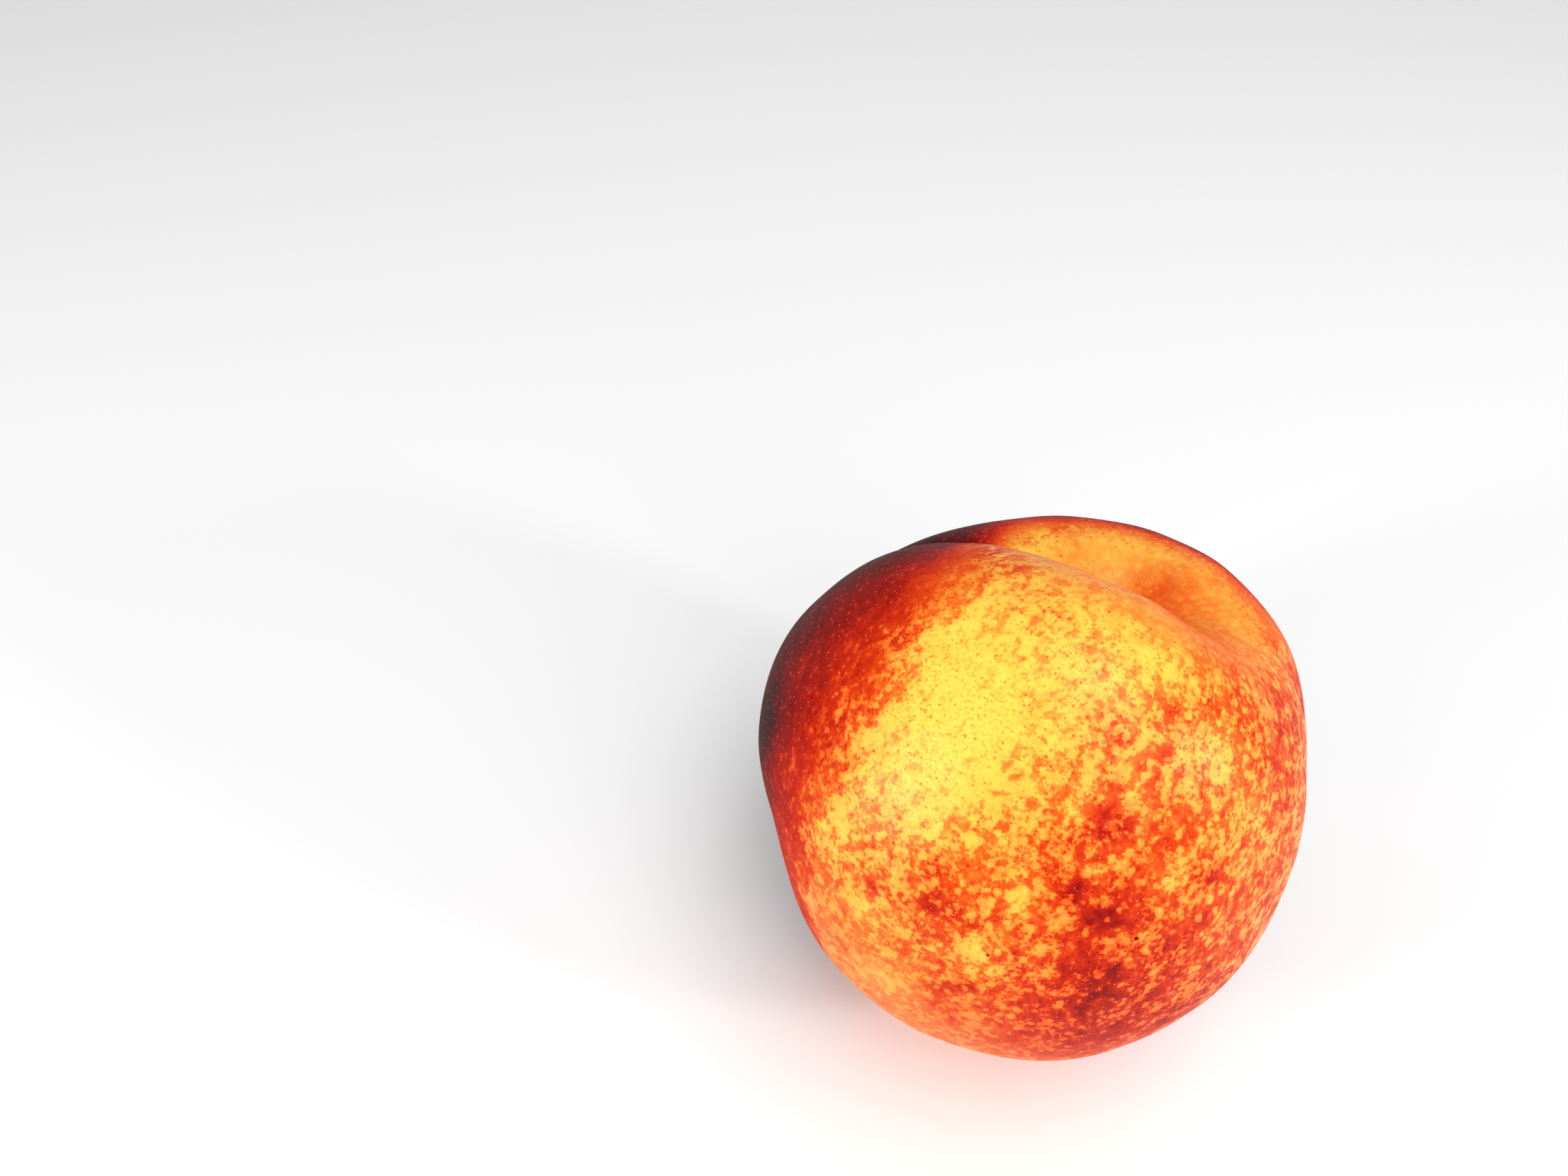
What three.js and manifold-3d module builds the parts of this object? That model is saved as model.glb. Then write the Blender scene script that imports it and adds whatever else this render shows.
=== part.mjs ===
// A nectarine: one solid fruit that lies on a small flat spot, with its stem end leaning up and back.
// Millimetres, +Z up. The origin is on the table, at the centre of the spot that the fruit rests on.
//
// The skin is a ball whose radius changes with direction. Directions are taken in the fruit's own frame:
// x towards the suture (the groove down one side), y towards the full cheek, z towards the stem end.
// "Polar" is a direction's angle from the stem axis in degrees: 0 at the stem, 180 at the tip.
// "Longitude" is its angle round that axis in degrees: 0 at the suture, 90 at the full cheek.

import * as THREE from "three";
import { mergeVertices } from "three/addons/utils/BufferGeometryUtils.js";
import Module from "manifold-3d";

const { clamp, degToRad, radToDeg, smoothstep } = THREE.MathUtils;

// From the fruit's middle to the skin on each side, before the swellings and hollows below.
const TO_SUTURE = 36.3;
const TO_BACK = 33.1;
const TO_FULL_CHEEK = 33.9;
const TO_LEAN_CHEEK = 35.2;
const TO_STEM_END = 35.6;
const TO_TIP = 33.0;
const MEAN_RADIUS = 33;

// The shoulders: a soft rim round the stem cavity, highest on the two cheeks and lost at the suture.
const SHOULDER = { fullCheek: 3.5, leanCheek: 2.5, back: 1.8, polar: 29, width: 26.5, innerFade: 0.1 };

// The suture: a broad groove, deepest beside the stem, with a finer crease along its bottom.
const GROOVE = { depth: 3.7, polar: 25, length: 36, halfWidth: 6.7 };
const GROOVE_AT_MIDDLE = { depth: 0.45, polar: 90, length: 45 };
const GROOVE_AT_TIP = { depth: 0.8, polar: 170, length: 22 };
const CREASE = { depth: 0.9, depthFarOff: 0.14, halfWidth: 1.6, startPolar: 6, fullPolar: 20 };
const SUTURE_SIDE = { from: -0.12, to: 0.1 }; // the groove fades in over this stretch of x

// The stem cavity, longer along the suture than across it, and the round scar at its bottom.
const CAVITY = { depth: 9.4, radius: 7.3, stretch: 1.5, steepness: 1.45, fadeIn: 0.3 };
const SCAR = { depth: 0.7, floorRadius: 1.3, edgeRadius: 2.4 };

// The small beak at the blossom end, and the two places that grew pressed against something.
const BEAK = { height: 1.2, width: 16 };
const PRESSED = [
  { depth: 2.2, polar: 122, longitude: 44, width: 19.5 },
  { depth: 0.8, polar: 52, longitude: -160, width: 14 },
];

// How the fruit lies. Headings are degrees from +X towards +Y. The lowest 0.7 mm is the flat spot.
const SUTURE_HEADING = 139;
const LEAN = 26.5;
const LEAN_HEADING = 37;
const MIDDLE = new THREE.Vector3(-1.2, -0.8, 32.85);

// The grid of the skin: closer together round the stem than at the tip, and at the suture than the back.
const MERIDIANS = 72;
const PARALLELS = 48;
const STEM_CROWDING = 1.35;
const SUTURE_CROWDING = 0.6;

// 1 where `distance` is 0, fading smoothly to nothing by about twice `width`.
const swell = (distance, width) => Math.exp(-((distance / width) ** 2));

// A length that is `plus` where `along` is 1 and `minus` where it is -1.
const reach = (plus, minus, along) => (plus + minus + (plus - minus) * along) / 2;

// The unit vector at a polar angle and longitude, both in radians.
function directionAt(polar, longitude) {
  const ring = Math.sin(polar);
  return new THREE.Vector3(ring * Math.cos(longitude), ring * Math.sin(longitude), Math.cos(polar));
}

const polarOf = (direction) => radToDeg(Math.acos(clamp(direction.z, -1, 1)));

function bodyRadius({ x, y, z }) {
  return 1 / Math.hypot(
    x / reach(TO_SUTURE, TO_BACK, x),
    y / reach(TO_FULL_CHEEK, TO_LEAN_CHEEK, y),
    z / reach(TO_STEM_END, TO_TIP, z),
  );
}

function shoulderHeight(direction) {
  const { x, y } = direction;
  const ring = Math.hypot(x, y, SHOULDER.innerFade);
  const onCheek = (y / ring) ** 2 * reach(SHOULDER.fullCheek, SHOULDER.leanCheek, y / ring);
  const onBack = (Math.min(x, 0) / ring) ** 2 * SHOULDER.back;
  return (onCheek + onBack) * swell(polarOf(direction) - SHOULDER.polar, SHOULDER.width);
}

function sutureDepth(direction) {
  const polar = polarOf(direction);
  const offSuture = direction.y * MEAN_RADIUS;
  const nearStem = swell(polar - GROOVE.polar, GROOVE.length);
  const grooveDepth =
    GROOVE.depth * nearStem +
    GROOVE_AT_MIDDLE.depth * swell(polar - GROOVE_AT_MIDDLE.polar, GROOVE_AT_MIDDLE.length) +
    GROOVE_AT_TIP.depth * swell(polar - GROOVE_AT_TIP.polar, GROOVE_AT_TIP.length);
  const groove = grooveDepth / (1 + (offSuture / GROOVE.halfWidth) ** 2);
  const crease =
    (CREASE.depth * nearStem + CREASE.depthFarOff) *
    swell(offSuture, CREASE.halfWidth) *
    smoothstep(polar, CREASE.startPolar, CREASE.fullPolar);
  return (groove + crease) * smoothstep(direction.x, SUTURE_SIDE.from, SUTURE_SIDE.to);
}

function cavityDepth({ x, y, z }) {
  const offAxis = Math.hypot(x / CAVITY.stretch, y) * MEAN_RADIUS;
  const funnel = CAVITY.depth / (1 + (offAxis / CAVITY.radius) ** 2) ** CAVITY.steepness;
  return funnel * smoothstep(z, 0, CAVITY.fadeIn);
}

function scarDepth({ x, y, z }) {
  if (z < 0) return 0;
  const offAxis = Math.hypot(x, y) * (TO_STEM_END - CAVITY.depth);
  return SCAR.depth * (1 - smoothstep(offAxis, SCAR.floorRadius, SCAR.edgeRadius));
}

function pressedDepth(direction) {
  return PRESSED.reduce((total, { depth, polar, longitude, width }) => {
    const middle = directionAt(degToRad(polar), degToRad(longitude));
    return total + depth * swell(radToDeg(direction.angleTo(middle)), width);
  }, 0);
}

function skinRadius(direction) {
  const beakHeight = BEAK.height * swell(180 - polarOf(direction), BEAK.width);
  const swellings = shoulderHeight(direction) + beakHeight;
  const hollows = sutureDepth(direction) + cavityDepth(direction) + scarDepth(direction);
  return bodyRadius(direction) + swellings - hollows - pressedDepth(direction);
}

// A sphere's grid of vertices, spaced by the crowding values and moved out to the skin.
function makeSkin() {
  const skin = new THREE.SphereGeometry(1, MERIDIANS, PARALLELS);
  const { position, uv } = skin.attributes;
  for (let i = 0; i < position.count; i++) {
    const turn = 2 * Math.PI * uv.getX(i);
    const longitude = turn - SUTURE_CROWDING * Math.sin(turn);
    const polar = Math.PI * (1 - uv.getY(i)) ** STEM_CROWDING;
    const direction = directionAt(polar, longitude);
    position.setXYZ(i, ...direction.multiplyScalar(skinRadius(direction)));
  }
  skin.deleteAttribute("normal");
  skin.deleteAttribute("uv");
  return mergeVertices(skin, 1e-3);
}

// The quaternion that turns the suture to its heading, then leans the stem end over.
function lyingPose() {
  const up = new THREE.Vector3(0, 0, 1);
  const leanAxis = directionAt(Math.PI / 2, degToRad(LEAN_HEADING + 90));
  const lean = new THREE.Quaternion().setFromAxisAngle(leanAxis, degToRad(LEAN));
  return lean.multiply(new THREE.Quaternion().setFromAxisAngle(up, degToRad(SUTURE_HEADING)));
}

// Everything below the table, as a closed box that reaches well past the fruit.
function makeTable() {
  const size = 4 * MEAN_RADIUS;
  const table = new THREE.BoxGeometry(size, size, size).translate(0, 0, -size / 2);
  table.deleteAttribute("normal");
  table.deleteAttribute("uv");
  return mergeVertices(table, 1e-3);
}

const wasm = await Module();
wasm.setup();

const solidOf = (geometry) =>
  new wasm.Manifold(
    new wasm.Mesh({
      numProp: 3,
      vertProperties: new Float32Array(geometry.attributes.position.array),
      triVerts: new Uint32Array(geometry.index.array),
    }),
  );

function geometryOf(solid) {
  const { vertProperties, triVerts } = solid.getMesh();
  const geometry = new THREE.BufferGeometry()
    .setAttribute("position", new THREE.BufferAttribute(vertProperties, 3))
    .setIndex(new THREE.BufferAttribute(triVerts, 1));
  geometry.computeVertexNormals();
  return geometry;
}

const lyingSkin = makeSkin().applyQuaternion(lyingPose()).translate(...MIDDLE);
const restingFruit = solidOf(lyingSkin).subtract(solidOf(makeTable()));

const nectarine = new THREE.Mesh(
  geometryOf(restingFruit),
  new THREE.MeshStandardMaterial({ color: 0xe4803a, roughness: 0.42, metalness: 0 }),
);
nectarine.name = "nectarine";

const fruit = new THREE.Group();
fruit.add(nectarine);

export default fruit;
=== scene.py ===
import math

import bpy
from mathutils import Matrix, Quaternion, Vector


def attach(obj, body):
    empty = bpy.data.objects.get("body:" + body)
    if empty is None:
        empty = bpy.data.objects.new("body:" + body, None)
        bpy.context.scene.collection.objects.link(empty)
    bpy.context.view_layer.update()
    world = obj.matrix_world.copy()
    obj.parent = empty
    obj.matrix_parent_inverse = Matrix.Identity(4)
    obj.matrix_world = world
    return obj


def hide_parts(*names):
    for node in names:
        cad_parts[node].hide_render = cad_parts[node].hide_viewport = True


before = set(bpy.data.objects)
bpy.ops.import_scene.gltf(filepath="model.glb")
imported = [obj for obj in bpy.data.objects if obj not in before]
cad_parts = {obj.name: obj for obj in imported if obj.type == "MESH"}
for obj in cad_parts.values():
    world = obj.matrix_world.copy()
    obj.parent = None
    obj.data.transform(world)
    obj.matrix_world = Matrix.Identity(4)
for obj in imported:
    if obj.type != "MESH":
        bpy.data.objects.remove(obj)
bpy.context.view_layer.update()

# A nectarine lying on a table. Its skin grows from the same formula and the same sizes as its solid.
#
# The skin is a ball whose radius changes with direction. Directions are taken in the fruit's own frame:
# x towards the suture (the groove down one side), y towards the full cheek, z towards the stem end.
# "Polar" is a direction's angle from the stem axis in degrees: 0 at the stem, 180 at the tip.
# "Longitude" is its angle round that axis in degrees: 0 at the suture, 90 at the full cheek.

MM = 0.001

# Short names for the node types and the setting that are used most.
MATH = "ShaderNodeMath"
VECTOR = "ShaderNodeVectorMath"
FADE = "ShaderNodeMapRange"
MIX = "ShaderNodeMix"
SMOOTH = "SMOOTHSTEP"


def add(tree, kind, inputs=(), **settings):
    """Adds a node with its settings, fills its inputs by order or by name, and returns its first output."""
    node = tree.nodes.new(kind)
    for name, value in settings.items():
        setattr(node, name, value)
    sockets = [s for s in node.inputs if s.enabled]
    pairs = inputs.items() if isinstance(inputs, dict) else enumerate(inputs)
    for key, value in pairs:
        socket = sockets[key] if isinstance(key, int) else next(s for s in sockets if s.name == key)
        if isinstance(value, bpy.types.NodeSocket):
            tree.links.new(value, socket)
        else:
            socket.default_value = value
    return next((s for s in node.outputs if s.enabled), None)


def unit_vector(polar, longitude):
    polar = math.radians(polar)
    longitude = math.radians(longitude)
    ring = math.sin(polar)
    return Vector((ring * math.cos(longitude), ring * math.sin(longitude), math.cos(polar)))


def srgb(code):
    """A linear colour from an sRGB hex code."""
    channels = [int(code[i:i + 2], 16) / 255 for i in (1, 3, 5)]
    linear = [c / 12.92 if c <= 0.04045 else ((c + 0.055) / 1.055) ** 2.4 for c in channels]
    return (*linear, 1)


# ---------------------------------------------------------------- how the fruit lies

SUTURE_HEADING = 139  # headings are degrees from +X towards +Y
LEAN = 26.5
LEAN_HEADING = 37
MIDDLE = Vector((-1.2, -0.8, 32.85)) * MM


def lying_pose():
    """The turn of the suture to its heading, then the lean of the stem end."""
    lean_axis = unit_vector(90, LEAN_HEADING + 90)
    turn = Quaternion((0, 0, 1), math.radians(SUTURE_HEADING))
    return (Quaternion(lean_axis, math.radians(LEAN)) @ turn).to_euler()


# ---------------------------------------------------------------- camera, light and floor

CAMERA_MM = (-32.07, -84.09, 162.15)
CAMERA_DIP = 48  # degrees below level
LENS_MM = 27.05
SENSOR_MM = 36
NEAREST_SEEN_MM = 10

ROOM_GLOW = 0.50
LAMPS = [  # name, place and edge in millimetres, watts
    ("right lamp", (520, -230, 260), 70, 0.85),
    ("left lamp", (-530, -215, 210), 110, 1.1),
    ("front lamp", (230, -400, 420), 400, 0.7),
    ("top lamp", (100, -120, 640), 400, 1.6),
]

FLOOR_HALF_MM = 4000
PAPER_COLOUR = "#FBFBFB"
PAPER_ROUGHNESS = 0.7


def make_camera():
    """Looks down at the fruit from in front and above."""
    data = bpy.data.cameras.new("camera")
    data.sensor_width = SENSOR_MM
    data.lens = LENS_MM
    data.clip_start = NEAREST_SEEN_MM * MM
    camera = bpy.data.objects.new("camera", data)
    camera.location = Vector(CAMERA_MM) * MM
    camera.rotation_euler = (math.radians(90 - CAMERA_DIP), 0, 0)
    bpy.context.collection.objects.link(camera)
    bpy.context.scene.camera = camera


def make_studio():
    """A pale room with four soft square lamps that face the fruit."""
    world = bpy.data.worlds.new("studio")
    world.use_nodes = True
    background = world.node_tree.nodes["Background"]
    background.inputs["Color"].default_value = srgb("#FFFFFF")
    background.inputs["Strength"].default_value = ROOM_GLOW
    bpy.context.scene.world = world
    bpy.context.scene.view_settings.view_transform = "Standard"
    for name, place_mm, edge_mm, watts in LAMPS:
        data = bpy.data.lights.new(name, "AREA")
        data.size = edge_mm * MM
        data.energy = watts
        lamp = bpy.data.objects.new(name, data)
        lamp.location = Vector(place_mm) * MM
        aim = MIDDLE - lamp.location
        lamp.rotation_euler = aim.to_track_quat("-Z", "Y").to_euler()
        bpy.context.collection.objects.link(lamp)


def paper_material():
    """Matt white paper, as pressed: it shows soft shadows and no highlight."""
    material = bpy.data.materials.new("white paper sweep")
    material.use_nodes = True
    shader = material.node_tree.nodes["Principled BSDF"]
    shader.inputs["Base Color"].default_value = srgb(PAPER_COLOUR)
    shader.inputs["Roughness"].default_value = PAPER_ROUGHNESS
    return material


def make_floor():
    half = FLOOR_HALF_MM * MM
    mesh = bpy.data.meshes.new("floor")
    corners = [(-half, -half, 0), (half, -half, 0), (half, half, 0), (-half, half, 0)]
    mesh.from_pydata(corners, [], [(0, 1, 2, 3)])
    mesh.materials.append(paper_material())
    floor = bpy.data.objects.new("floor", mesh)
    bpy.context.collection.objects.link(floor)


# ---------------------------------------------------------------- sums that both trees use

def degrees(tree, cosine):
    """The angle that has this cosine."""
    angle = add(tree, MATH, [cosine], operation="ARCCOSINE")
    return add(tree, MATH, [angle], operation="DEGREES")


def swell(tree, distance, width):
    """1 where distance is 0, fading smoothly to nothing by about twice width."""
    ratio = add(tree, MATH, [distance, width], operation="DIVIDE")
    square = add(tree, MATH, [ratio, 2], operation="POWER")
    negative = add(tree, MATH, [square, -1], operation="MULTIPLY")
    return add(tree, MATH, [negative], operation="EXPONENT")


class Direction:
    """Links to the direction of a spot from the fruit's middle, to its parts and to its polar angle."""

    def __init__(self, tree, spot):
        self.unit = add(tree, VECTOR, [spot], operation="NORMALIZE")
        self.x, self.y, self.z = add(tree, "ShaderNodeSeparateXYZ", [self.unit]).node.outputs
        self.polar = degrees(tree, self.z)


def near_polar(tree, way, polar, width):
    """1 at this polar angle, fading away from it."""
    off = add(tree, MATH, [way.polar, polar], operation="SUBTRACT")
    return swell(tree, off, width)


def near_place(tree, way, polar, longitude, width):
    """1 at this place on the skin, fading away from it."""
    facing = add(tree, VECTOR, [way.unit, unit_vector(polar, longitude)], operation="DOT_PRODUCT")
    return swell(tree, degrees(tree, facing), width)


# ---------------------------------------------------------------- the skin's shape

# From the fruit's middle to the skin on each side, before the swellings and hollows below.
TO_SUTURE_MM = 36.3
TO_BACK_MM = 33.1
TO_FULL_CHEEK_MM = 33.9
TO_LEAN_CHEEK_MM = 35.2
TO_STEM_END_MM = 35.6
TO_TIP_MM = 33.0
MEAN_RADIUS_MM = 33.0

SIZES_MM = {  # the inputs of the skin's tree, of which the solid lacks the last two
    "Shoulder on full cheek": 3.5,
    "Shoulder on lean cheek": 2.5,
    "Shoulder on back": 1.8,
    "Groove depth": 3.7,
    "Groove half width": 6.7,
    "Groove depth at middle": 0.45,
    "Groove depth at tip": 0.8,
    "Crease depth": 0.9,
    "Crease depth far off": 0.14,
    "Crease half width": 1.6,
    "Cavity depth": 9.4,
    "Cavity radius": 7.3,
    "Scar depth": 0.7,
    "Beak height": 1.2,
    "Mean radius": MEAN_RADIUS_MM,
    "Relief": 0.2,
    "Scar roughness": 0.35,
}

SHOULDER_POLAR = 29
SHOULDER_WIDTH = 26.5
SHOULDER_INNER_FADE = 0.1

GROOVE_POLAR = 25
GROOVE_LENGTH = 36
MIDDLE_POLAR = 90
MIDDLE_LENGTH = 45
TIP_POLAR = 170
TIP_LENGTH = 22
CREASE_FADE = (6, 20)  # the crease fades in over this stretch of polar
SUTURE_SIDE_FADE = (-0.12, 0.1)  # the groove fades in over this stretch of x

CAVITY_STRETCH = 1.5
CAVITY_STEEPNESS = 1.45
CAVITY_FADE = (0, 0.3)  # the cavity fades in over this stretch of z
SCAR_FLOOR_MM = 1.3
SCAR_EDGE_MM = 2.4

BEAK_POLAR = 180
BEAK_WIDTH = 16
PRESSED = [  # depth in millimetres, polar, longitude, width
    (2.2, 122, 44, 19.5),
    (0.8, 52, -160, 14),
]

# The low relief of the skin, in grains of 12 mm, and of the scar's floor, in grains of 0.9 mm.
ROLLS = {"Scale": MEAN_RADIUS_MM / 12, "Detail": 1, "Roughness": 0.4}
ROLLS_FADE = (0.3, 0.7)
CRUMBS = {"Scale": MEAN_RADIUS_MM / 0.9, "Detail": 1, "Roughness": 0.5}

SKIN_GRID = 129  # vertices along each edge of the cube that the skin is blown up from


def body_radius(tree, way):
    """An egg that reaches differently far on its six sides."""
    ahead = Vector((TO_SUTURE_MM, TO_FULL_CHEEK_MM, TO_STEM_END_MM)) * MM
    behind = Vector((TO_BACK_MM, TO_LEAN_CHEEK_MM, TO_TIP_MM)) * MM
    change = (ahead - behind) / 2
    mean = (ahead + behind) / 2
    reach = add(tree, VECTOR, [way.unit, change, mean], operation="MULTIPLY_ADD")
    share = add(tree, VECTOR, [way.unit, reach], operation="DIVIDE")
    length = add(tree, VECTOR, [share], operation="LENGTH")
    return add(tree, MATH, [1, length], operation="DIVIDE")


def shoulder_height(tree, way, size):
    """A rim round the stem cavity, highest on the two cheeks and lost at the suture."""
    flat = add(tree, "ShaderNodeCombineXYZ", [way.x, way.y, SHOULDER_INNER_FADE])
    ring = add(tree, VECTOR, [flat], operation="LENGTH")
    cheek = add(tree, MATH, [way.y, ring], operation="DIVIDE")
    cheek_share = add(tree, MATH, [cheek, 2], operation="POWER")
    cheek_height = add(tree, FADE, {
        "Value": cheek, "From Min": -1, "From Max": 1,
        "To Min": size["Shoulder on lean cheek"], "To Max": size["Shoulder on full cheek"],
    }, clamp=False)
    rim = add(tree, MATH, [cheek_share, cheek_height], operation="MULTIPLY")
    behind = add(tree, MATH, [way.x, 0], operation="MINIMUM")
    back = add(tree, MATH, [behind, ring], operation="DIVIDE")
    back_share = add(tree, MATH, [back, 2], operation="POWER")
    rim = add(tree, MATH, [back_share, size["Shoulder on back"], rim], operation="MULTIPLY_ADD")
    near_rim = near_polar(tree, way, SHOULDER_POLAR, SHOULDER_WIDTH)
    return add(tree, MATH, [rim, near_rim], operation="MULTIPLY")


def suture_depth(tree, way, size):
    """A broad groove, deepest beside the stem, with a finer crease along its bottom."""
    near_stem = near_polar(tree, way, GROOVE_POLAR, GROOVE_LENGTH)
    near_middle = near_polar(tree, way, MIDDLE_POLAR, MIDDLE_LENGTH)
    near_tip = near_polar(tree, way, TIP_POLAR, TIP_LENGTH)
    deep = add(tree, MATH, [near_stem, size["Groove depth"]], operation="MULTIPLY")
    deep = add(tree, MATH, [near_middle, size["Groove depth at middle"], deep], operation="MULTIPLY_ADD")
    deep = add(tree, MATH, [near_tip, size["Groove depth at tip"], deep], operation="MULTIPLY_ADD")
    off_suture = add(tree, MATH, [way.y, size["Mean radius"]], operation="MULTIPLY")
    widths_off = add(tree, MATH, [off_suture, size["Groove half width"]], operation="DIVIDE")
    opening = add(tree, MATH, [widths_off, widths_off, 1], operation="MULTIPLY_ADD")
    groove = add(tree, MATH, [deep, opening], operation="DIVIDE")

    fine = add(tree, MATH, [near_stem, size["Crease depth"], size["Crease depth far off"]],
               operation="MULTIPLY_ADD")
    near_line = swell(tree, off_suture, size["Crease half width"])
    crease = add(tree, MATH, [fine, near_line], operation="MULTIPLY")
    started = add(tree, FADE, [way.polar, *CREASE_FADE], interpolation_type=SMOOTH)
    furrow = add(tree, MATH, [crease, started, groove], operation="MULTIPLY_ADD")
    suture_side = add(tree, FADE, [way.x, *SUTURE_SIDE_FADE], interpolation_type=SMOOTH)
    return add(tree, MATH, [furrow, suture_side], operation="MULTIPLY")


def cavity_depth(tree, way, size):
    """The stem cavity: a funnel, longer along the suture than across it."""
    along = add(tree, MATH, [way.x, CAVITY_STRETCH], operation="DIVIDE")
    across = add(tree, "ShaderNodeCombineXYZ", [along, way.y, 0])
    off_axis = add(tree, VECTOR, [across], operation="LENGTH")
    off_axis = add(tree, MATH, [off_axis, size["Mean radius"]], operation="MULTIPLY")
    radii_off = add(tree, MATH, [off_axis, size["Cavity radius"]], operation="DIVIDE")
    opening = add(tree, MATH, [radii_off, radii_off, 1], operation="MULTIPLY_ADD")
    opening = add(tree, MATH, [opening, CAVITY_STEEPNESS], operation="POWER")
    funnel = add(tree, MATH, [size["Cavity depth"], opening], operation="DIVIDE")
    stem_side = add(tree, FADE, [way.z, *CAVITY_FADE], interpolation_type=SMOOTH)
    return add(tree, MATH, [funnel, stem_side], operation="MULTIPLY")


def on_scar(tree, way):
    """1 on the round floor where the stalk came off, and 0 from its edge outwards."""
    floor_to_middle = TO_STEM_END_MM - SIZES_MM["Cavity depth"]
    full = SCAR_FLOOR_MM / floor_to_middle
    edge = SCAR_EDGE_MM / floor_to_middle
    flat = add(tree, "ShaderNodeCombineXYZ", [way.x, way.y, 0])
    off_axis = add(tree, VECTOR, [flat], operation="LENGTH")
    floor = add(tree, FADE, [off_axis, full, edge, 1, 0], interpolation_type=SMOOTH)
    stem_half = add(tree, MATH, [way.z, 0], operation="GREATER_THAN")
    return add(tree, MATH, [floor, stem_half], operation="MULTIPLY")


def skin_radius(tree, way, size):
    """How far the skin is from the fruit's middle."""
    body = body_radius(tree, way)
    near_tip = near_polar(tree, way, BEAK_POLAR, BEAK_WIDTH)
    radius = add(tree, MATH, [near_tip, size["Beak height"], body], operation="MULTIPLY_ADD")
    radius = add(tree, MATH, [radius, shoulder_height(tree, way, size)], operation="ADD")
    scar = on_scar(tree, way)
    for hollow in (
        suture_depth(tree, way, size),
        cavity_depth(tree, way, size),
        add(tree, MATH, [scar, size["Scar depth"]], operation="MULTIPLY"),
    ):
        radius = add(tree, MATH, [radius, hollow], operation="SUBTRACT")

    # Places that grew pressed against something.
    for depth_mm, polar, longitude, width in PRESSED:
        pressed = near_place(tree, way, polar, longitude, width)
        radius = add(tree, MATH, [pressed, -depth_mm * MM, radius], operation="MULTIPLY_ADD")

    # Low relief: the flesh is never quite even, and the scar's floor is crumbly. Both only lower the skin,
    # which stays inside its solid's box.
    rolls = add(tree, "ShaderNodeTexNoise", {"Vector": way.unit, **ROLLS})
    rolls = add(tree, FADE, [rolls, *ROLLS_FADE], interpolation_type=SMOOTH)
    lowered = add(tree, MATH, [rolls, size["Relief"]], operation="MULTIPLY")
    radius = add(tree, MATH, [radius, lowered], operation="SUBTRACT")
    crumbs = add(tree, "ShaderNodeTexNoise", {"Vector": way.unit, **CRUMBS})
    crumbs = add(tree, MATH, [crumbs, scar], operation="MULTIPLY")
    lowered = add(tree, MATH, [crumbs, size["Scar roughness"]], operation="MULTIPLY")
    return add(tree, MATH, [radius, lowered], operation="SUBTRACT")


def skin_tree(material):
    """Geometry Nodes that grow the skin in its own frame, lay it down and rest it on the table."""
    tree = bpy.data.node_groups.new("nectarine skin", "GeometryNodeTree")
    for name in SIZES_MM:
        tree.interface.new_socket(name, in_out="INPUT", socket_type="NodeSocketFloat")
    tree.interface.new_socket("Geometry", in_out="OUTPUT", socket_type="NodeSocketGeometry")
    size = add(tree, "NodeGroupInput").node.outputs

    # Directions: a cube's grid, spaced evenly by angle and drawn out to a ball.
    cube = add(tree, "GeometryNodeMeshCube", [(1, 1, 1), SKIN_GRID, SKIN_GRID, SKIN_GRID])
    position = add(tree, "GeometryNodeInputPosition")
    angles = add(tree, VECTOR, [position, (math.pi / 2,) * 3], operation="MULTIPLY")
    way = Direction(tree, add(tree, VECTOR, [angles], operation="TANGENT"))

    skin = add(tree, VECTOR, [way.unit, skin_radius(tree, way, size)], operation="SCALE")
    grown = add(tree, "GeometryNodeSetPosition", {"Geometry": cube, "Position": skin})
    laid = add(tree, "GeometryNodeTransform", {
        "Geometry": grown, "Translation": MIDDLE, "Rotation": lying_pose()})

    # The flat spot: nothing reaches below the table.
    lying = add(tree, "ShaderNodeSeparateXYZ", [add(tree, "GeometryNodeInputPosition")]).node.outputs
    above = add(tree, MATH, [lying["Z"], 0], operation="MAXIMUM")
    resting = add(tree, "ShaderNodeCombineXYZ", [lying["X"], lying["Y"], above])
    rested = add(tree, "GeometryNodeSetPosition", {"Geometry": laid, "Position": resting})

    smooth = add(tree, "GeometryNodeSetShadeSmooth", {"Geometry": rested})
    real = add(tree, "GeometryNodeRealizeInstances", {"Geometry": smooth})
    dressed = add(tree, "GeometryNodeSetMaterial", {"Geometry": real, "Material": material})
    add(tree, "NodeGroupOutput", [dressed])
    return tree


def make_skin(material):
    """Grows the skin from its tree, and returns it as a plain mesh object."""
    tree = skin_tree(material)
    seed = bpy.data.objects.new("seed", bpy.data.meshes.new("seed"))
    bpy.context.collection.objects.link(seed)
    modifier = seed.modifiers.new("skin", "NODES")
    modifier.node_group = tree
    for item in tree.interface.items_tree:
        if item.in_out == "INPUT":
            modifier[item.identifier] = SIZES_MM[item.name] * MM
    depsgraph = bpy.context.evaluated_depsgraph_get()
    mesh = bpy.data.meshes.new_from_object(seed.evaluated_get(depsgraph))
    bpy.data.objects.remove(seed)
    mesh.name = "nectarine_skin"
    skin = bpy.data.objects.new("nectarine_skin", mesh)
    bpy.context.collection.objects.link(skin)
    return skin


# ---------------------------------------------------------------- the skin's finish
#
# The pattern is worked out as a level from 0, bare ground yellow, to 1, the deepest maroon.
# A fade is written as the two ends of what it reads, then the value at each end where those aren't 0 and 1.
# A line is written as its slope and its start.

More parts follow.
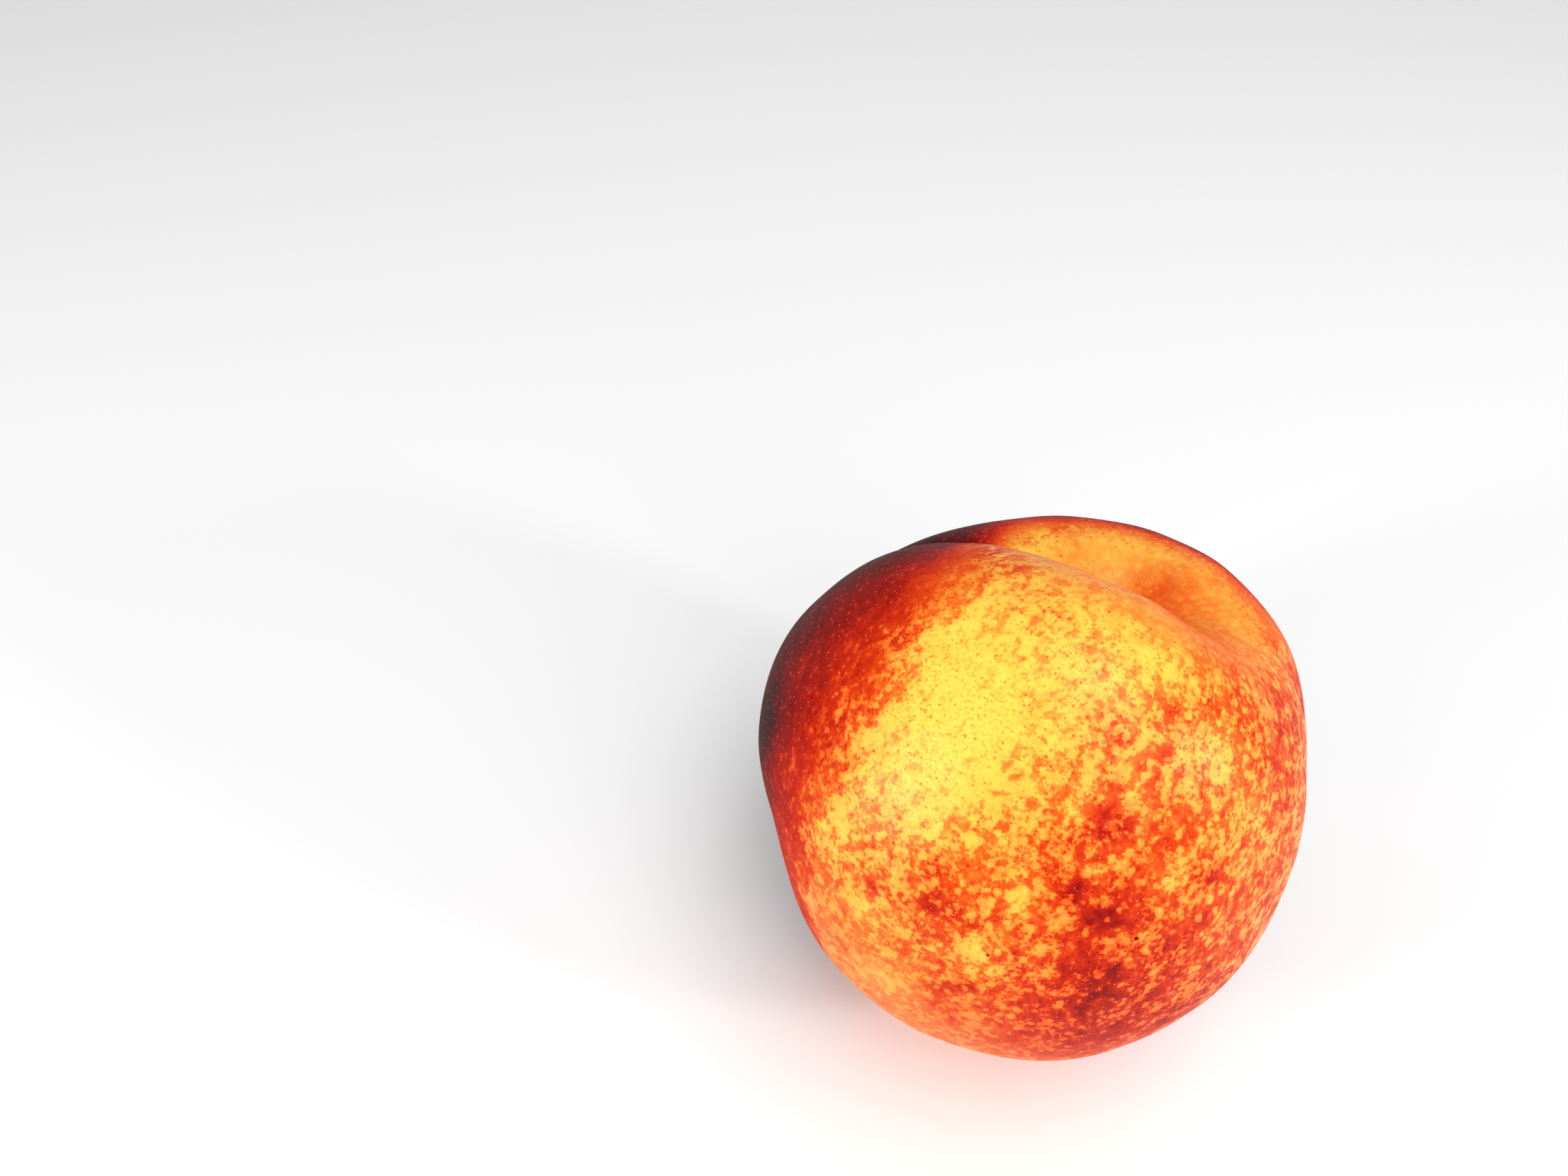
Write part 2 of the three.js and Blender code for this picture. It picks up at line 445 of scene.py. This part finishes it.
BLUSH_STOPS = [
    (0.00, "#FFE056"),
    (0.16, "#FFCC48"),
    (0.33, "#FCA236"),
    (0.42, "#F88226"),
    (0.50, "#F36616"),
    (0.58, "#E54608"),
    (0.68, "#CA2604"),
    (0.80, "#940A02"),
    (0.92, "#580606"),
    (1.00, "#3A060A"),
]

# How much more or less blushed each part of the skin is: polar, longitude, width in degrees, blush.
PLAIN_BLUSH = 0.405
BLUSH_PLACES = [
    (44, 80, 15, -0.17),  # the pale shoulder of the full cheek
    (62, 80, 16, -0.36),  # the pale middle of the full cheek
    (33, 104, 12, -0.12),  # the crest of the full cheek
    (98, 134, 20, 0.23),  # the mottled side of the cheek, towards the back
    (70, 122, 14, 0.12),  # the mottled middle of the cheek
    (86, 98, 8, 0.08),  # a patch below the pale middle
    (96, 160, 14, 0.10),  # the mottled side, further towards the back
    (40, 172, 14, 0.08),  # the top of the back
    (72, 170, 26, 0.05),  # the back
    (38, 56, 9, -0.12),  # the crest beside the sunned side
    (68, 69, 6, 0.10),  # the edge of the sunned side
    (44, 47, 7, -0.10),  # the same edge near the crest
    (89, 70, 8, -0.17),  # the same edge low down
    (92, 41, 11, 0.17),  # the darkest part low on the sunned side
    (34, -8, 13, -0.31),  # the pale end of the suture
    (28, -42, 8, -0.19),  # the pale skin beside that end
    (37, -22, 7, -0.16),  # where those two meet
    (24, -25, 8, 0.12),  # a redder patch above them
    (24, -158, 8, -0.06),  # the rim of the cavity towards the back
    (20, 140, 9, 0.08),  # the near rim of the cavity
    (30, 116, 6, -0.10),  # a paler stretch of that rim
    (113, 98, 8, -0.08),  # the underside of the full cheek
    (29, -138, 10, -0.27),  # the lean cheek towards the back
    (17, -66, 14, -0.14),  # the cavity's far side
    (11, -163, 7, 0.05),  # the cavity's wall towards the back
    (7, -95, 7, 0.18),  # a red spot on the cavity's wall
]
BLUSH_MARKS = [  # the same for the marks of a few millimetres that stand out from the mottling
    (74, 124, 2.8, 0.15),
    (71, 117, 2.6, 0.16),
    (58, 117, 3.0, 0.16),
    (66, 109, 2.6, 0.12),
    (86, 130, 4.0, 0.12),
    (62, 142, 3.4, 0.14),
    (77, 141, 3.2, 0.12),
    (81, 95, 2.4, 0.14),
    (93, 86, 2.2, 0.12),
    (98, 89, 5.0, -0.12),
    (86, 98, 2.4, 0.12),
    (104, 106, 2.8, 0.14),
    (99, 109, 2.5, 0.14),
    (39, 121, 2.4, 0.13),
    (47, 93, 1.6, 0.20),
    (77, 110, 3.0, -0.18),
    (67, 119, 2.4, -0.18),
    (91, 109, 4.0, -0.16),
    (64, 134, 3.5, -0.14),
    # These two paler marks are partly painted highlight: paler skin where the right lamp's sheen falls.
    (43, 138, 4.5, -0.12),
    (50, 149, 5.0, -0.11),
    (45, 110, 2.6, 0.14),
    (57, 110, 3.0, -0.12),
    (75, 90, 2.5, -0.10),
    (45, 64, 5.0, -0.10),
    (110, 110, 4.0, 0.10),
    (39, 32, 6.0, -0.12),
    (105, 70, 5.0, -0.08),
    (36, 71, 4.0, 0.09),
    (76, 132, 0.35, 0.60),  # and two dark specks
    (90, 110, 0.25, 0.60),
]

# The sunned side, which is the suture and the lean cheek.
SUN_BLUSH = 0.60
SUN_LONGITUDE = -50
SUN_SPREAD = 0.20  # how much less the stem end faces the sun, and how much more the tip does
SUN_FADE = (-0.54, 0.50)  # reads how far the skin faces the sun

# The pale cap round the stem, which reaches further down one side.
CAP_LONGITUDE = 15
CAP_REACH = 14
CAP_FADE = (14, 30)  # reads polar

# Grains of the pattern: size in millimetres, detail, roughness, and how far they go either way.
SUN_EDGE_WAVES = (9, 1, 0.5, 0.22)
SUN_EDGE_FRAYS = (2.5, 2, 0.6, 0.12)
BLOTCHES = (4.0, 2, 0.5, 0.25)
LOBES = (1.5, 2, 0.6, 0.46)
FLECKS = (0.5, 3, 0.7, 0.42)
STREAKS = (1.3, 2, 0.6, 0.20)
FINE_STREAKS = (0.6, 2, 0.6, 0.20)
STREAK_WANDER = (6, 1, 0.5, 2.5)
TINTS = (1.8, 4, 0.7, 0.26)
GOLD_SPECKS = (0.40, 3, 0.65, 0.95)
SCAR_RAGS = (0.9, 2, 0.5, 0.5)
CORK_SHADES = (0.7, 4, 0.7, 1.2)
CORK_CRUMBS = (0.6, 3, 0.7, 2.0)
SKIN_CELLS = (0.35, 2, 0.6, 0.5)  # drawn coarser than real cells of about 0.03 mm, which are too fine
WAX_PATCHES = (1.2, 3, 0.6, 0.10)

# Streaks run down from the stem. A degree of polar is 0.58 mm of skin, and counts as less here, so a streak
# is over 4 times as long as it is wide.
STREAK_RING_MM = (MEAN_RADIUS_MM, MEAN_RADIUS_MM, 0)
STREAK_MM_A_DEGREE = 0.13
STREAKED_LONGITUDE = 170  # the finer ones show on this side alone
STREAKED_FADE = (0.5, 1.0)  # reads how far the skin faces that side

# Islands in the mottling, each of its own strength.
ISLAND_SPACING_MM = 1.1
ISLAND_SMOOTHNESS = 0.3
ISLAND_FADE = (0.12, 0.62, 1, 0)  # reads spacings off its middle
ISLAND_DEPTH_LINE = (-0.50, 0.10)  # reads its random draw

# The blush lies as a net over barer skin.
NET_COVER_LINE = (0.44, -0.142)  # these three read the blush
BARE_LINE = (0.86, -0.03)
NET_LINE = (0.89, 0.17)
NET_FADE = (-0.12, 0.12)  # reads the cover and the mottling together
MOTTLE_IN_NET = 0.12  # how much of the mottling shades the net itself, and the skin that has no net
MOTTLE_IN_EVEN = 0.16
UNDERSIDE_CALM_FADE = (88, 116, 0, 0.45)  # reads polar
SUNNED_EVEN_FADE = (0.20, 0.62)  # reads how sunned the skin is
CAVITY_CALM_FADE = (20, 34, 0.9, 0)  # reads polar: how much of the pattern is lost in the cavity

# Freckles: small redder dots.
FRECKLE_SPACING_MM = 0.85
FRECKLE_CORE_MM = 0.05
FRECKLE_MM_LINE = (0.16, 0.11)  # reads its random draw
FRECKLES_MISSING_FADE = (0.0, 0.30, 0.78, 0.30)  # reads how sunned the skin is
NO_FRECKLES_FADE = (14, 26, 1, 0)  # reads polar
FRECKLE_BLUSH_FADE = (0.10, 0.60, 0.27, 0.07)  # reads the level

# Pores (lenticels): a pale point in a redder ring. The point is pale skin and partly a painted glint,
# lighter than a pore is under any lamp. Three in ten don't show, and the rest show more or less.
PORE_SPACING_MM = 1.1
PORE_SHOWN_FADE = (0.30, 1.0)  # reads its random draw
PORE_POINT_FADE = (0.04, 0.14, 1, 0)  # these two read millimetres off its middle
PORE_RING_FADE = (0.14, 0.30, 1, 0)
RING_BLUSH_FADE = (0.30, 0.75, 0.10, 0.05)  # these three read the level
POINT_REDDER_FADE = (0.25, 0.65)
POINT_STRENGTH_FADE = (0.3, 0.8, 0.75, 0.60)
POINT_AND_GLINT_ON_YELLOW = "#FFE08A"
POINT_AND_GLINT_ON_RED = "#F8B27C"

# The dry places at both ends of the stem axis: their radii, and the share of a radius that is wholly dry.
STALK_SCAR_MM = 2.3
TIP_SCAR_MM = 0.9
SCAR_FULL_SHARE = 0.75
CORK_MIDDLE = 0.5
CORK_STOPS = [
    (0.15, "#5E3E26"),
    (0.50, "#B4885A"),
    (0.85, "#DCBC8E"),
]

# Surface. The skin has no highlight of its own: what shines is the wax, which is a thin coat on it. Only
# the glints on the pores' points and one paler patch are painted into the skin's colour.
SKIN_IOR = 1.40
SKIN_ROUGHNESS = 0.24
SKIN_SPECULAR = 0.0
CORK_ROUGHNESS = 0.75
WAX_IOR = 1.5
WAX_ROUGHNESS = 0.24
WAX_ON_SUNNED_FADE = (0, 0.45, 0.42, 0.27)  # reads how sunned the skin is, and gives the coat's weight
WAX_ON_BLUSH_FADE = (0.30, 0.65, 1.25, 0.60)  # reads the level, and gives a share of that weight
BUMP_STRENGTH = 0.9
BUMP_MM = 0.1  # how far a height of 1 rises
POINT_RISE = 0.5  # the height of a pore's point


def fill_ramp(ramp, stops):
    """Gives a colour ramp these stops, as (place, hex code)."""
    elements = ramp.node.color_ramp.elements
    while len(elements) < len(stops):
        elements.new(1)
    for element, (place, code) in zip(elements, stops):
        element.position = place
        element.color = srgb(code)


def grain(tree, spot, size_mm, detail, roughness, amount):
    """Uneven growth in grains of this size, from -amount to amount."""
    noise = add(tree, "ShaderNodeTexNoise", {
        "Vector": spot, "Scale": 1 / size_mm, "Detail": detail, "Roughness": roughness})
    return add(tree, MATH, [noise, 2 * amount, -amount], operation="MULTIPLY_ADD")


def scattered_dots(tree, spot, way, spacing_mm):
    """How many millimetres off the nearest dot is, seen square on, and that dot's three random draws."""
    dots = add(tree, "ShaderNodeTexVoronoi", {"Vector": spot, "Scale": 1 / spacing_mm}).node.outputs
    offset = add(tree, VECTOR, [dots["Position"], spot], operation="SUBTRACT")
    outward = add(tree, VECTOR, [offset, way.unit], operation="DOT_PRODUCT")
    lifted = add(tree, VECTOR, [way.unit, outward], operation="SCALE")
    distance = add(tree, VECTOR, [offset, lifted], operation="DISTANCE")
    draws = add(tree, "ShaderNodeSeparateColor", [dots["Color"]]).node.outputs
    return distance, draws


def sunned_share(tree, spot, way, round_stem):
    """0 on the shaded side to 1 on the sunned side, which has a ragged edge and leaves a pale cap."""
    facing = add(tree, VECTOR, [round_stem, unit_vector(90, SUN_LONGITUDE)], operation="DOT_PRODUCT")
    facing = add(tree, MATH, [way.z, -SUN_SPREAD, facing], operation="MULTIPLY_ADD")
    for edge in (SUN_EDGE_WAVES, SUN_EDGE_FRAYS):
        facing = add(tree, MATH, [facing, grain(tree, spot, *edge)], operation="ADD")
    sunned = add(tree, FADE, [facing, *SUN_FADE])
    sunned = add(tree, MATH, [sunned], operation="SQRT")

    cap_side = add(tree, VECTOR, [round_stem, unit_vector(90, CAP_LONGITUDE)], operation="DOT_PRODUCT")
    cap_side = add(tree, MATH, [cap_side, 0], operation="MAXIMUM")
    cap_side = add(tree, MATH, [cap_side, 2], operation="POWER")
    below_cap = add(tree, MATH, [cap_side, -CAP_REACH, way.polar], operation="MULTIPLY_ADD")
    below_cap = add(tree, FADE, [below_cap, *CAP_FADE], interpolation_type=SMOOTH)
    return add(tree, MATH, [sunned, below_cap], operation="MULTIPLY")


def blush_amount(tree, way, sunned):
    """The blush without its mottling: patchy on the shaded side, deep on the sunned side."""
    blush = PLAIN_BLUSH
    for polar, longitude, width, amount in BLUSH_PLACES + BLUSH_MARKS:
        place = near_place(tree, way, polar, longitude, width)
        blush = add(tree, MATH, [place, amount, blush], operation="MULTIPLY_ADD")
    return add(tree, MATH, [sunned, SUN_BLUSH, blush], operation="MULTIPLY_ADD")


def streaks(tree, spot, way, round_stem):
    """Streaks from the stem down, which wander, with finer ones on the back."""
    down = add(tree, MATH, [way.polar, STREAK_MM_A_DEGREE], operation="MULTIPLY")
    down = add(tree, "ShaderNodeCombineXYZ", [0, 0, down])
    striped = add(tree, VECTOR, [round_stem, STREAK_RING_MM, down], operation="MULTIPLY_ADD")
    striped = add(tree, VECTOR, [striped, grain(tree, spot, *STREAK_WANDER)], operation="ADD")
    facing = add(tree, VECTOR, [round_stem, unit_vector(90, STREAKED_LONGITUDE)], operation="DOT_PRODUCT")
    streaked = add(tree, FADE, [facing, *STREAKED_FADE], interpolation_type=SMOOTH)
    fine = grain(tree, striped, *FINE_STREAKS)
    return add(tree, MATH, [fine, streaked, grain(tree, striped, *STREAKS)], operation="MULTIPLY_ADD")


def islands(tree, spot):
    """Round spots with soft edges: most are paler than the skin round them, some a little redder."""
    cells = add(tree, "ShaderNodeTexVoronoi", {
        "Vector": spot, "Scale": 1 / ISLAND_SPACING_MM, "Smoothness": ISLAND_SMOOTHNESS,
    }, feature="SMOOTH_F1").node.outputs
    inside = add(tree, FADE, [cells["Distance"], *ISLAND_FADE], interpolation_type=SMOOTH)
    draw = add(tree, "ShaderNodeSeparateColor", [cells["Color"]])
    depth = add(tree, MATH, [draw, *ISLAND_DEPTH_LINE], operation="MULTIPLY_ADD")
    return add(tree, MATH, [inside, depth], operation="MULTIPLY")


def mottling(tree, spot, way, round_stem):
    """Blotches of a few millimetres, lobes of 1 to 2 mm, flecks under 1 mm, islands and streaks."""
    mottle = grain(tree, spot, *BLOTCHES)
    for layer in (
        grain(tree, spot, *LOBES),
        grain(tree, spot, *FLECKS),
        islands(tree, spot),
        streaks(tree, spot, way, round_stem),
    ):
        mottle = add(tree, MATH, [mottle, layer], operation="ADD")
    return mottle


def netted_level(tree, spot, way, blush, sunned, calm, mottle):
    """The level where the blush lies as a net: more of it, and redder, where the skin is more blushed."""
    cover = add(tree, MATH, [blush, *NET_COVER_LINE], operation="MULTIPLY_ADD")
    cover = add(tree, MATH, [cover, mottle], operation="ADD")
    net = add(tree, FADE, [cover, *NET_FADE], interpolation_type=SMOOTH)
    bare_level = add(tree, MATH, [blush, *BARE_LINE], operation="MULTIPLY_ADD")
    net_level = add(tree, MATH, [blush, *NET_LINE], operation="MULTIPLY_ADD")
    netted = add(tree, MIX, [net, bare_level, net_level])
    netted = add(tree, MATH, [netted, grain(tree, spot, *TINTS)], operation="ADD")
    netted = add(tree, MATH, [mottle, MOTTLE_IN_NET, netted], operation="MULTIPLY_ADD")

    # The net is fainter on the underside, and all but lost on the sunned side and in the cavity.
    underside = add(tree, FADE, [way.polar, *UNDERSIDE_CALM_FADE], interpolation_type=SMOOTH)
    netted = add(tree, MIX, [underside, netted, blush])
    even = add(tree, FADE, [sunned, *SUNNED_EVEN_FADE], interpolation_type=SMOOTH)
    even = add(tree, MATH, [even, calm], operation="MAXIMUM")
    even_level = add(tree, MATH, [mottle, MOTTLE_IN_EVEN, blush], operation="MULTIPLY_ADD")
    level = add(tree, MIX, [even, netted, even_level])

    # Fine golden specks, which only the palest skin shows: redder skin hides them.
    return add(tree, MATH, [level, grain(tree, spot, *GOLD_SPECKS)], operation="MAXIMUM")


def add_freckles(tree, spot, way, sunned, level):
    """The level with freckles: thick beside the sunned side, thin elsewhere and none in the cavity."""
    distance, draws = scattered_dots(tree, spot, way, FRECKLE_SPACING_MM)
    missing = add(tree, FADE, [sunned, *FRECKLES_MISSING_FADE])
    in_cavity = add(tree, FADE, [way.polar, *NO_FRECKLES_FADE], interpolation_type=SMOOTH)
    missing = add(tree, MATH, [missing, in_cavity], operation="MAXIMUM")
    there = add(tree, MATH, [draws[0], missing], operation="GREATER_THAN")
    radius = add(tree, MATH, [draws[1], *FRECKLE_MM_LINE], operation="MULTIPLY_ADD")
    freckle = add(tree, FADE, [distance, FRECKLE_CORE_MM, radius, 1, 0], interpolation_type=SMOOTH)
    freckle = add(tree, MATH, [freckle, there], operation="MULTIPLY")
    redder = add(tree, FADE, [level, *FRECKLE_BLUSH_FADE])
    return add(tree, MATH, [freckle, redder, level], operation="MULTIPLY_ADD")


def add_pores(tree, spot, way, calm, level):
    """The level with the pores' rings, which the cavity all but lacks, and 1 on the pores' pale points."""
    distance, draws = scattered_dots(tree, spot, way, PORE_SPACING_MM)
    shown = add(tree, FADE, [draws[0], *PORE_SHOWN_FADE])
    point = add(tree, FADE, [distance, *PORE_POINT_FADE], interpolation_type=SMOOTH)
    point = add(tree, MATH, [point, shown], operation="MULTIPLY")
    ring = add(tree, FADE, [distance, *PORE_RING_FADE], interpolation_type=SMOOTH)
    ring = add(tree, MATH, [ring, shown], operation="MULTIPLY")
    redder = add(tree, FADE, [level, *RING_BLUSH_FADE])
    redder = add(tree, MATH, [draws[2], redder], operation="MULTIPLY")
    kept = add(tree, MATH, [1, calm], operation="SUBTRACT")
    redder = add(tree, MATH, [redder, kept], operation="MULTIPLY")
    level = add(tree, MATH, [ring, redder, level], operation="MULTIPLY_ADD")
    return level, point


def pored_colour(tree, level, point):
    """The colour of a level, with the pores' points, partly painted glint, which are pinker on red skin."""
    colour = add(tree, "ShaderNodeValToRGB", [level])
    fill_ramp(colour, BLUSH_STOPS)
    redder = add(tree, FADE, [level, *POINT_REDDER_FADE])
    # The pale point colour is partly a painted glint.
    pale = add(tree, MIX, [redder, srgb(POINT_AND_GLINT_ON_YELLOW), srgb(POINT_AND_GLINT_ON_RED)], data_type="RGBA")
    strength = add(tree, FADE, [level, *POINT_STRENGTH_FADE])
    strength = add(tree, MATH, [point, strength], operation="MULTIPLY")
    return add(tree, MIX, [strength, colour, pale], data_type="RGBA")


def dry_share(tree, spot, way):
    """1 where the skin is dry cork: where the stalk came off, and at the tip where the flower was."""
    flat = add(tree, VECTOR, [spot, (1, 1, 0)], operation="MULTIPLY")
    off_axis = add(tree, VECTOR, [flat], operation="LENGTH")
    ragged = add(tree, MATH, [off_axis, grain(tree, spot, *SCAR_RAGS)], operation="ADD")
    stem_half = add(tree, MATH, [way.z, 0], operation="GREATER_THAN")
    edge = add(tree, MIX, [stem_half, TIP_SCAR_MM, STALK_SCAR_MM])
    full = add(tree, MATH, [edge, SCAR_FULL_SHARE], operation="MULTIPLY")
    return add(tree, FADE, [ragged, edge, full, 0, 1], interpolation_type=SMOOTH)


def cork_colour(tree, spot):
    """Crumbly cork, in shades from brown to tan."""
    shade = add(tree, MATH, [grain(tree, spot, *CORK_SHADES), CORK_MIDDLE], operation="ADD")
    cork = add(tree, "ShaderNodeValToRGB", [shade])
    fill_ramp(cork, CORK_STOPS)
    return cork


def skin_material():
    """Skin of a ripe yellow nectarine, as it grew: a hairless cuticle with a thin wax over coloured cells.

    It shows clear yellow under a net of red blush, maroon where it was sunned, pale pores with a painted
    glint on each point, and satin highlights with soft edges, which come from the wax and so are white on
    any colour. One highlight, towards the back of the full cheek, is also partly painted as paler skin.
    """
    material = bpy.data.materials.new("waxy nectarine skin")
    material.use_nodes = True
    tree = material.node_tree
    shader = tree.nodes["Principled BSDF"]

    # Millimetres in the fruit's own frame.
    lying = add(tree, "ShaderNodeTexCoord").node.outputs["Object"]
    spot = add(tree, "ShaderNodeMapping", [lying, MIDDLE, lying_pose(), (MM,) * 3], vector_type="TEXTURE")
    way = Direction(tree, spot)
    flat = add(tree, "ShaderNodeCombineXYZ", [way.x, way.y, 0])
    round_stem = add(tree, VECTOR, [flat], operation="NORMALIZE")

    sunned = sunned_share(tree, spot, way, round_stem)
    blush = blush_amount(tree, way, sunned)
    mottle = mottling(tree, spot, way, round_stem)
    calm = add(tree, FADE, [way.polar, *CAVITY_CALM_FADE], interpolation_type=SMOOTH)
    level = netted_level(tree, spot, way, blush, sunned, calm, mottle)
    level = add_freckles(tree, spot, way, sunned, level)
    level, point = add_pores(tree, spot, way, calm, level)
    waxy = pored_colour(tree, level, point)
    dry = dry_share(tree, spot, way)
    colour = add(tree, MIX, [dry, waxy, cork_colour(tree, spot)], data_type="RGBA")
    tree.links.new(colour, shader.inputs["Base Color"])

    height = add(tree, MATH, [point, POINT_RISE, grain(tree, spot, *SKIN_CELLS)], operation="MULTIPLY_ADD")
    height = add(tree, MATH, [dry, grain(tree, spot, *CORK_CRUMBS), height], operation="MULTIPLY_ADD")
    bumped = add(tree, "ShaderNodeBump", {
        "Strength": BUMP_STRENGTH, "Distance": BUMP_MM * MM, "Height": height})
    tree.links.new(bumped, shader.inputs["Normal"])
    tree.links.new(bumped, shader.inputs["Coat Normal"])

    patchy = add(tree, MATH, [grain(tree, spot, *WAX_PATCHES), SKIN_ROUGHNESS], operation="ADD")
    roughness = add(tree, MIX, [dry, patchy, CORK_ROUGHNESS])
    tree.links.new(roughness, shader.inputs["Roughness"])
    shader.inputs["IOR"].default_value = SKIN_IOR
    shader.inputs["Specular IOR Level"].default_value = SKIN_SPECULAR

    wax = add(tree, FADE, [sunned, *WAX_ON_SUNNED_FADE])
    wax = add(tree, MATH, [wax, add(tree, FADE, [level, *WAX_ON_BLUSH_FADE])], operation="MULTIPLY")
    tree.links.new(wax, shader.inputs["Coat Weight"])
    shader.inputs["Coat Roughness"].default_value = WAX_ROUGHNESS
    shader.inputs["Coat IOR"].default_value = WAX_IOR
    return material


# ---------------------------------------------------------------- the scene

make_camera()
make_studio()
make_floor()
skin = make_skin(skin_material())
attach(skin, "root")
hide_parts("nectarine")
